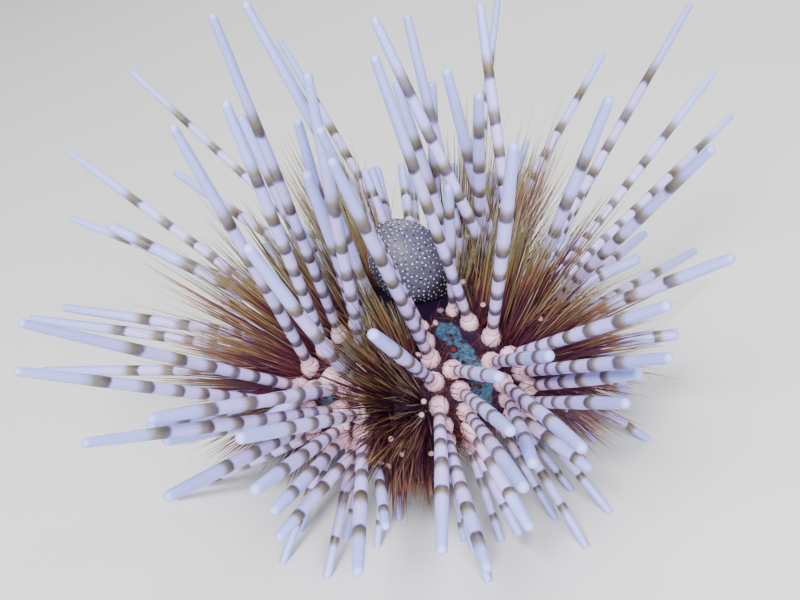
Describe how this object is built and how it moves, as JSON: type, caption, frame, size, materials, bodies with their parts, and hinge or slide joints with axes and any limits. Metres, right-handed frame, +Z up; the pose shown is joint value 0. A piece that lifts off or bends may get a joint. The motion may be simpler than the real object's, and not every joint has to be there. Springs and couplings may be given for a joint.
{
  "type": "banded sea urchin",
  "caption": "Banded sea urchin resting mouth down: domed shell with long blunt ribbed banded spines, bands of fine dark needles between them, and a rounded anal sac on top",
  "frame": {"origin": "middle of the bounding box in plan, on the floor the spines stand on", "axes": "+Z is up, from the mouth to the anal sac; -Y is the side that faces the picture's camera; +X is the picture's right"},
  "size_m": [0.1852, 0.1858, 0.1231],
  "materials": {
    "interambulacrum": "satin",
    "ambulacrum": "satin",
    "anal_sac": "satin",
    "apical_disc": "satin",
    "peristome": "matte",
    "tooth": "gloss"
  },
  "bodies": {
    "root": {"interambulacrum_1": "interambulacrum", "interambulacrum_2": "interambulacrum", "interambulacrum_3": "interambulacrum", "interambulacrum_4": "interambulacrum", "interambulacrum_5": "interambulacrum", "ambulacrum_1": "ambulacrum", "ambulacrum_2": "ambulacrum", "ambulacrum_3": "ambulacrum", "ambulacrum_4": "ambulacrum", "ambulacrum_5": "ambulacrum", "anal_sac": "anal_sac", "apical_disc": "apical_disc", "peristome": "peristome", "tooth_1": "tooth", "tooth_2": "tooth", "tooth_3": "tooth", "tooth_4": "tooth", "tooth_5": "tooth"}
  },
  "joints": []
}
